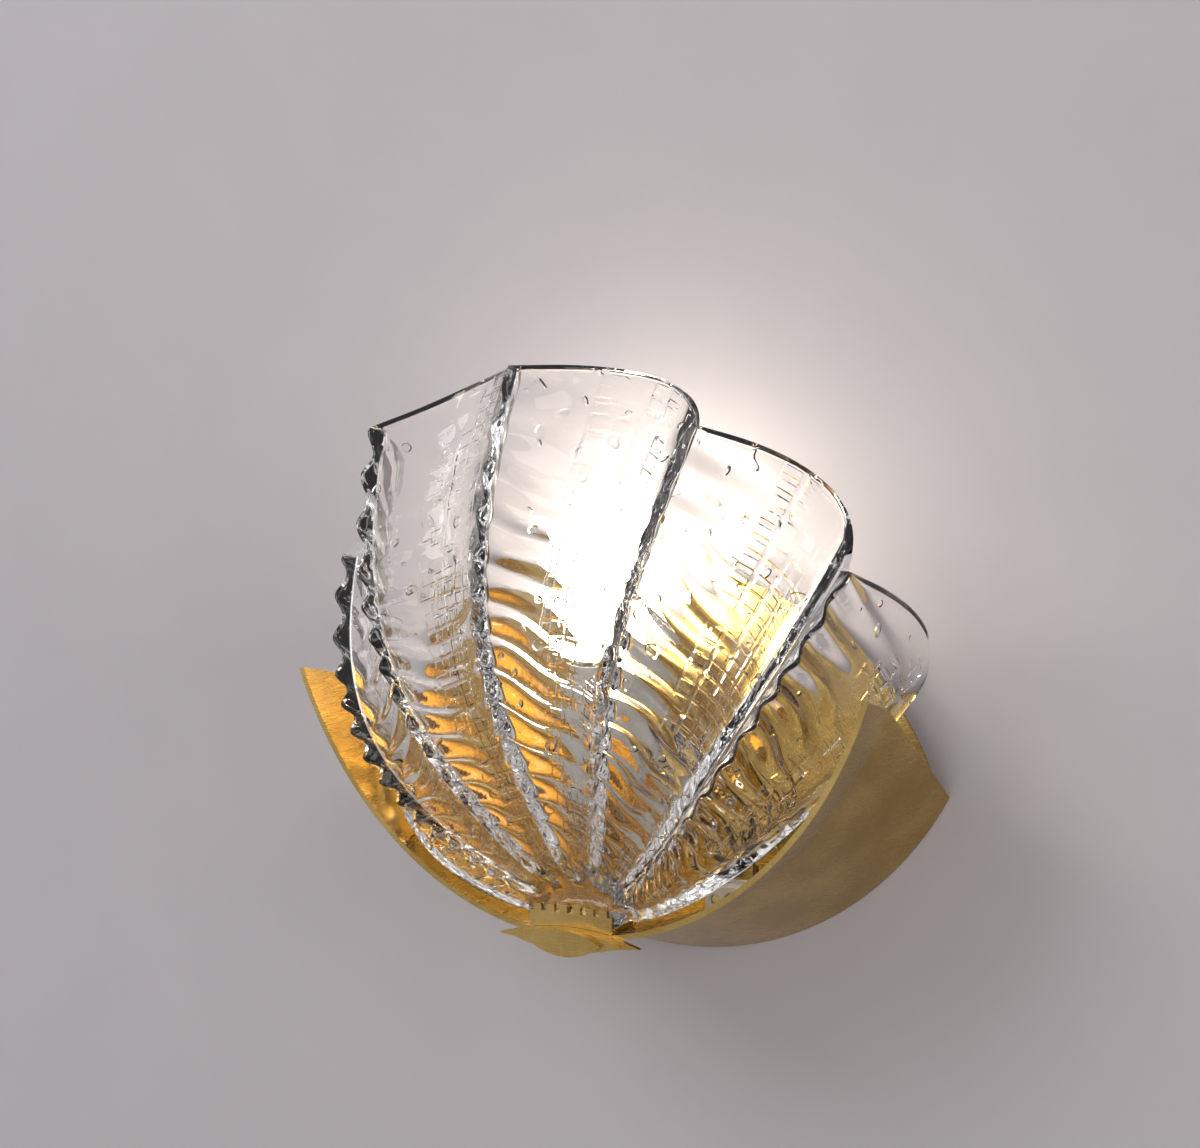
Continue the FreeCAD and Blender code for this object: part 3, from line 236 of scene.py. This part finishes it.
holder_plastic = moulded("holder_plastic", (0.50, 0.49, 0.46), (0.60, 0.59, 0.56), 0.42)
terminal_plastic = moulded("terminal_plastic", (0.66, 0.66, 0.63), (0.76, 0.76, 0.73), 0.38)
blue_jacket = moulded("blue_insulation", (0.012, 0.075, 0.22), (0.02, 0.11, 0.30), 0.22, 0.3, 0.5)
brown_jacket = moulded("brown_insulation", (0.055, 0.018, 0.007), (0.085, 0.03, 0.012), 0.22, 0.3, 0.5)
black_rubber = moulded("grommet_rubber", (0.012, 0.012, 0.012), (0.025, 0.025, 0.024), 0.6)
vitrite = moulded("cap_insulator", (0.006, 0.005, 0.008), (0.014, 0.012, 0.018), 0.12)
silicone = moulded("clear_silicone", (0.62, 0.62, 0.58), (0.74, 0.74, 0.70), 0.3)
silicone.set(Transmission_Weight=0.5, IOR=1.41)
dress(holder_plastic, "lampholder_body")
dress(terminal_plastic, "terminal_block")
dress(blue_jacket, "blue_wire")
dress(brown_jacket, "brown_wire")
dress(black_rubber, "cable_grommet")
dress(vitrite, "lamp_insulator")
dress(silicone, "foot_liner", "clip_pads")

# %% [markdown]
# ## The lamp
# The lamp is lit.  Its glass glows warm white, and the filaments inside are
# as warm.  It is bright enough to whiten the glass before it and to leave a soft
# halo on the wall above, as in the photograph.

# %% Lamp finishes
def glowing(name, shade, strength, rough):
    finish = Finish(name)
    flicker = finish.noise(finish.place(), 0.08, 1.0)
    warm = finish.ramp(flicker, (0.2, shade), (0.8, (1.0, 0.93, 0.82)))
    finish.set(Base_Color=warm, Emission_Color=warm, Roughness=rough)
    return finish.set(Emission_Strength=strength)


lamp_glow = glowing("lamp_glass", (1.0, 0.86, 0.68), 16.0, 0.1)
filament_glow = glowing("filament", (1.0, 0.75, 0.42), 8.0, 0.3)
cap_metal = Finish("lamp_cap_metal")
rolled = cap_metal.noise(cap_metal.place((0.2, 0.2, 1.0)), 0.35, 2.0)
cap_metal.set(Base_Color=cap_metal.ramp(rolled, (0.3, (0.50, 0.50, 0.50)), (0.7, (0.72, 0.71, 0.69))))
cap_metal.set(Metallic=1.0, Roughness=rolled * 0.2 + 0.2)
dress(lamp_glow, "lamp_glass")
dress(filament_glow, "lamp_filaments")
dress(cap_metal, "lamp_cap", "lamp_contact")

# %% [markdown]
# ## The shape of the glass
# A scallop is a fan of flutes.  Every point of it is named by two numbers: the
# rib, which counts folds sideways from the middle, and how far along the rib it
# lies, from the foot to the rim.  Between two folds the glass dips away from
# the room, and the sides of the fan wrap back toward the wall.

# %% Points on the shell
WALL = 5.0
ROOT_OUT = 72.0
ROOT_UP = -42.0
REACH = 198.6
SHORTER = 0.375
FLUTE = 17.0
FOOT_HALF = 17.0
FOOT_OUT = 73.5
FOOT_THICK = 10.0
FOOT_UNDER = -39.263
ROOT_START = 0.07
FAN_STEP = 20.43
FAN_CLOSING = 0.282
FAN_BOW = 0.58
BULGE = 39.3
BULGE_SKEW = 1.15
LEAN_OUT = 19.4
SIDE_WRAP = 89.9
MIDDLE_WRAP = 12.0
STEP = 0.01
RIBS = 3


def lean_of(rib):
    """Lean of a rib at the rim, in radians."""
    return math.radians(FAN_STEP * rib - FAN_CLOSING * rib ** 3)


def spread_of(rib, along):
    return lean_of(rib) * (1 + FAN_BOW * (1 - along))


def shell_point(rib, along, flute):
    """Room side of the glass; flute is -1 on a fold and 1 mid-flute."""
    lean = lean_of(rib)
    spread = spread_of(rib, along)
    reach = REACH * (1 - SHORTER * lean ** 2) * along
    out = ROOT_OUT + BULGE * math.sin(math.pi * along ** BULGE_SKEW) + LEAN_OUT * along
    out -= (SIDE_WRAP * along + MIDDLE_WRAP * math.sin(math.pi * along)) * lean ** 2
    out -= FLUTE * along * flute
    return Vector((reach * math.sin(spread), -out, ROOT_UP + reach * math.cos(spread)))


def inward(rib, along):
    """Direction through the wall of the glass, away from the room."""
    side = shell_point(rib + STEP, along, 0) - shell_point(rib - STEP, along, 0)
    climb = shell_point(rib, along + STEP, 0) - shell_point(rib, along - STEP, 0)
    return climb.cross(side).normalized()


def flute_at(rib):
    share = rib - math.floor(rib)
    return 8 * share * (1 - share) - 1


def side_start():
    """How far along the side edge leaves the end of the foot."""
    lean = lean_of(RIBS)
    along = 0.1
    for turn in range(20):
        along = FOOT_HALF / (REACH * (1 - SHORTER * lean ** 2) * math.sin(spread_of(RIBS, along)))
    return along


SIDE_START = side_start()
print("side edge leaves the foot at", round(SIDE_START, 3))


def along_at(rib, share):
    """Length from the foot (share 0) to the rim (share 1) along one rib."""
    start = ROOT_START + (SIDE_START - ROOT_START) * (rib / RIBS) ** 2
    return start + (1 - start) * share


# %% [markdown]
# ## Two skins
# The wall skin follows the room skin one glass thickness behind it.  At the two
# free side edges the glass turns square to its last slope and grows toward the
# middle, which keeps it clear of the bracket.  The shares below are the weights
# of a cubic curve that eases this in across the last flute.

# %% Offsets of the two skins
def skin_offsets(rib, share):
    """Offsets of the room skin and of the wall skin from the shell's formula."""
    beyond = abs(rib) - 2
    if beyond <= 0:
        return Vector(), inward(rib, along_at(rib, share)) * WALL
    hand = 1 if rib > 0 else -1
    edge_along = along_at(RIBS, share)
    edge_rib = RIBS * hand
    climb = shell_point(edge_rib, edge_along + STEP, -1) - shell_point(edge_rib, edge_along - STEP, -1)
    last = shell_point(edge_rib, edge_along, -1)
    before = shell_point(8 / 3 * hand, along_at(8 / 3, share), 5 / 3)
    square = climb.cross((last - before) * hand).normalized()
    left = 1 - beyond
    weights = [left ** 3, 3 * beyond * left ** 2, 3 * beyond ** 2 * left, beyond ** 3]
    ways = [inward(part * hand, along_at(part, share)) for part in (2, 7 / 3, 8 / 3)]
    ways[2] = (ways[2] + square).normalized()
    behind = ways[0] * weights[0] + ways[1] * weights[1] + ways[2] * weights[2]
    return square * (-WALL * weights[3]), behind * WALL


# %% [markdown]
# ## Relief in the glass
# The mould leaves three kinds of relief.  Each fold is a rope of fat knots, about
# 16 mm apart at the rim and 7 mm near the foot.  From each knot a crescent ridge
# sweeps to the right and fades.  A ladder of small bricks runs up the middle of
# each flute.  All of it could be bump in the material, but a fold's outline shows
# its knots, so knots and crescents are shaped in the mesh on the room side only.
# The wall side is left smooth, and the fine bricks are left to the material.

# %% Knots and crescents
def bell(value, width):
    return math.exp(-(value / width) ** 2)


def growth(along):
    """Counts knots from the foot; they stand further apart toward the rim."""
    return 21.7 * math.log(1 + 1.31 * along)


def relief(rib, along):
    """Height of the relief in millimetres.  It is cut into the glass as well as
    standing out of it, so the shell grows by less than 2 mm."""
    share = rib - math.floor(rib)
    near_fold = min(share, 1 - share)
    sag = 0.06 * math.sin(math.pi * share)
    wander = 0.010 * math.sin(5.1 * rib + 9 * along) + 0.006 * math.sin(11.3 * rib - 17 * along)
    wave = 0.5 + 0.5 * math.cos(2 * math.pi * growth(along + sag + wander))
    rope = min(0.22, 0.105 / max(along, 0.1))
    knot = 3.4 * bell(near_fold, rope) * (wave ** 1.1 - 0.64)
    middle = max(0.0, math.sin(math.pi * min(1.0, along * 1.05)))
    crescent = 3.0 * math.exp(-(share / 0.36) ** 2) * (1 - bell(share, 0.06))
    crescent += 1.0 * math.exp(-(1 - share) / 0.16) * (1 - bell(1 - share, 0.06))
    ring = (crescent + 0.25 * middle) * (wave ** 1.6 - 0.55)
    grow = min(1.0, along / 0.3) * (0.75 + 0.25 * along)
    return (knot + ring * (0.45 + 0.55 * middle)) * grow


# %% Build the shell
def ease(value):
    value = max(0.0, min(1.0, value))
    return value * value * (3 - 2 * value)


def shell_sheet_point(rib, share, room_side):
    """One vertex of either sheet; a negative share is the foot's underside."""
    foot_face = FOOT_OUT + (FOOT_THICK / 2 if room_side else -FOOT_THICK / 2)
    if share < 0:
        return Vector((FOOT_HALF * rib / RIBS, -foot_face, FOOT_UNDER))
    along = along_at(rib, share)
    spot = shell_point(rib, along, flute_at(rib))
    to_room, to_wall = skin_offsets(rib, share)
    if room_side:
        edge = ease((RIBS - abs(rib)) / 0.12) * ease((1 - share) / 0.012)
        height = relief(rib, along) * ease(share / 0.1) * (0.35 + 0.65 * edge)
        moved = spot + to_room - inward(rib, along) * height
    else:
        moved = spot + to_wall
    mix = ease(share / 0.07)
    foot = Vector((spot.x, -foot_face, spot.z))
    return foot.lerp(moved, mix)


def crowded(place):
    """Ribs for even steps: the vertices crowd together near the folds."""
    rib = RIBS * place
    share = rib - math.floor(rib)
    return rib - 0.07 * math.sin(2 * math.pi * share)


STEPS_PER_FLUTE = 30
across_steps = 2 * RIBS * STEPS_PER_FLUTE
row_steps = 262
shell = bmesh.new()
bmesh.ops.create_grid(shell, x_segments=across_steps, y_segments=row_steps, size=1)
room_verts = list(shell.verts)
copied = bmesh.ops.duplicate(shell, geom=shell.verts[:] + shell.edges[:] + shell.faces[:])
wall_verts = [item for item in copied["geom"] if isinstance(item, bmesh.types.BMVert)]
wall_faces = [item for item in copied["geom"] if isinstance(item, bmesh.types.BMFace)]
bmesh.ops.reverse_faces(shell, faces=wall_faces)
flow = shell.loops.layers.uv.new("flow")
for face in shell.faces:
    for loop in face.loops:
        across = crowded(loop.vert.co.x) / RIBS
        loop[flow].uv = (across / 2 + 0.5, loop.vert.co.y / 2 + 0.5)
rims = [edge for edge in shell.edges if edge.is_boundary]
bmesh.ops.bridge_loops(shell, edges=rims)
for verts, room_side in ((room_verts, True), (wall_verts, False)):
    for vert in verts:
        row = round((vert.co.y / 2 + 0.5) * row_steps)
        rib = crowded(vert.co.x)
        if abs(rib - round(rib)) < 1e-4:
            rib = float(round(rib))
        vert.co = shell_sheet_point(rib, (row - 1) / (row_steps - 1), room_side) * MM
bmesh.ops.recalc_face_normals(shell, faces=shell.faces[:])
shell_mesh = bpy.data.meshes.new("scallop_glass")
shell.to_mesh(shell_mesh)
shell.free()
shell_mesh.polygons.foreach_set("use_smooth", [True] * len(shell_mesh.polygons))
scallop = bpy.data.objects.new("scallop_glass", shell_mesh)
bpy.context.scene.collection.objects.link(scallop)
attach(scallop, "glass")
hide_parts("glass_shell")
print("scallop triangles", 2 * len(shell_mesh.polygons))

# %% [markdown]
# ## Clear pressed glass
# Pressed glass is clear and smooth, with a slow waviness, a few seeds, and here
# the ladder of bricks up the middle of each flute.  The grid's own coordinates
# run across the ribs and up to the rim, so a brick is a pair of fractions: one
# counts columns away from the flute's middle, the other counts rows.

# %% Glass finish
def outline_of(part, sharp):
    """A raised line where a fraction wraps round, for the edges of bricks."""
    distance = (part - 0.5).math("ABSOLUTE")
    return clear_glass.ramp(distance, (0.5 - sharp, (0, 0, 0)), (0.5 - sharp * 0.45, (1, 1, 1)))


clear_glass = Finish("shell_glass")
uv = clear_glass.node("ShaderNodeUVMap", {"uv_map": "flow"}, {})
apart = clear_glass.node("ShaderNodeSeparateXYZ", {}, [uv])
across_uv = Value(clear_glass, apart.socket.node.outputs[0])
along_uv = Value(clear_glass, apart.socket.node.outputs[1])
flute_share = (across_uv * 6.0).math("FRACT")
from_middle = (flute_share - 0.5).math("ABSOLUTE")
columns = (from_middle * 9.0).math("FRACT")
rows = (along_uv * 36.0).math("FRACT")
lines = outline_of(columns, 0.16).math("MAXIMUM", outline_of(rows, 0.16))
waver = clear_glass.noise(clear_glass.place(), 0.045, 2.0)
worn = clear_glass.ramp(waver, (0.46, (0, 0, 0)), (0.56, (1, 1, 1)))
bricks = lines * (from_middle < 0.222) * worn
swells = clear_glass.noise(clear_glass.place(), 0.05, 1.0)
seeds = clear_glass.noise(clear_glass.place(), 0.16, 0.0)
seed_bumps = clear_glass.ramp(seeds, (0.76, (0, 0, 0)), (0.80, (1, 1, 1)))
tint = clear_glass.ramp(swells, (0.3, (0.975, 0.965, 0.945)), (0.7, (0.995, 0.99, 0.98)))
clear_glass.set(Base_Color=tint, Transmission_Weight=1.0, IOR=1.46, Roughness=swells * 0.012)
clear_glass.bump(bricks * 0.35 + seed_bumps * 0.8 + swells * 1.2, 0.0008, 1.0)
shell_mesh.materials.append(clear_glass.material)

# %% [markdown]
# ## The studio
# The light hangs on a pale wall over a pale floor.  The wall has only a front:
# seen from behind it is clear, so that the back of the bracket can be studied.

# %% Wall and floor
def stage_plane(name, size, spin, spot, shade, one_sided):
    sheet = bmesh.new()
    bmesh.ops.create_grid(sheet, x_segments=1, y_segments=1, size=size)
    bmesh.ops.transform(sheet, matrix=Matrix.Translation(spot) @ spin, verts=sheet.verts)
    mesh = bpy.data.meshes.new(name)
    sheet.to_mesh(mesh)
    sheet.free()
    finish = Finish(name)
    grain = finish.noise(finish.place(), 0.02, 5.0)
    darker = tuple(part * 0.97 for part in shade)
    finish.set(Base_Color=finish.ramp(grain, (0.3, darker), (0.7, shade)), Roughness=0.85)
    finish.bump(grain, 0.0004, 0.3)
    if one_sided:
        behind = finish.node("ShaderNodeNewGeometry", {}, {}, "Backfacing")
        clear = finish.node("ShaderNodeBsdfTransparent", {}, {})
        solid = Value(finish, finish.shader.outputs[0])
        both = finish.node("ShaderNodeMixShader", {}, [behind, solid, clear])
        finish.tree.links.new(both.socket, finish.output.inputs["Surface"])
    mesh.materials.append(finish.material)
    plane = bpy.data.objects.new(name, mesh)
    bpy.context.scene.collection.objects.link(plane)
    return plane


upright = Matrix.Rotation(math.radians(90), 4, "X")
stage_plane("pale_wall", 2.5, upright, Vector((0, 0.0004, 0.9)), (0.57, 0.54, 0.56), True)
stage_plane("pale_floor", 2.5, Matrix(), Vector((0, -0.4, -0.8)), (0.72, 0.70, 0.68), False)

# %% [markdown]
# ## Soft light
# One large lamp above and to the left gives the shape, a weaker one from the
# right keeps the brass side readable, and a dim pale room fills the shadows.

# %% Lamps and room light
def soft_lamp(name, spot, aim, size, power, shade=(1, 1, 1)):
    data = bpy.data.lights.new(name, "AREA")
    data.shape = "SQUARE"
    data.size = size
    data.energy = power
    data.color = shade
    lamp = bpy.data.objects.new(name, data)
    bpy.context.scene.collection.objects.link(lamp)
    line = Vector(aim) - Vector(spot)
    lamp.matrix_world = Matrix.Translation(spot) @ line.to_track_quat("-Z", "Y").to_matrix().to_4x4()
    return lamp


soft_lamp("key", (-0.9, -1.3, 1.3), (0, -0.06, 0.05), 1.0, 14, (1.0, 0.985, 0.99))
soft_lamp("side", (1.5, -0.9, 0.5), (0, -0.06, 0.05), 0.9, 6, (1.0, 0.97, 0.93))
world = bpy.data.worlds.new("pale_room")
bpy.context.scene.world = world
world.use_nodes = True
sky = world.node_tree.nodes["Background"]
sky.inputs["Color"].default_value = (0.98, 0.97, 1.0, 1)
path = world.node_tree.nodes.new("ShaderNodeLightPath")
seen_in_glass = world.node_tree.nodes.new("ShaderNodeMath")
seen_in_glass.operation = "MAXIMUM"
mirror_level = world.node_tree.nodes.new("ShaderNodeMapRange")
mirror_level.inputs["To Min"].default_value = 0.45
mirror_level.inputs["To Max"].default_value = 0.8
links = world.node_tree.links
links.new(path.outputs["Is Glossy Ray"], seen_in_glass.inputs[0])
links.new(path.outputs["Is Transmission Ray"], seen_in_glass.inputs[1])
links.new(seen_in_glass.outputs[0], mirror_level.inputs["Value"])
links.new(mirror_level.outputs[0], sky.inputs["Strength"])
print("room light", mirror_level.inputs["To Min"].default_value)
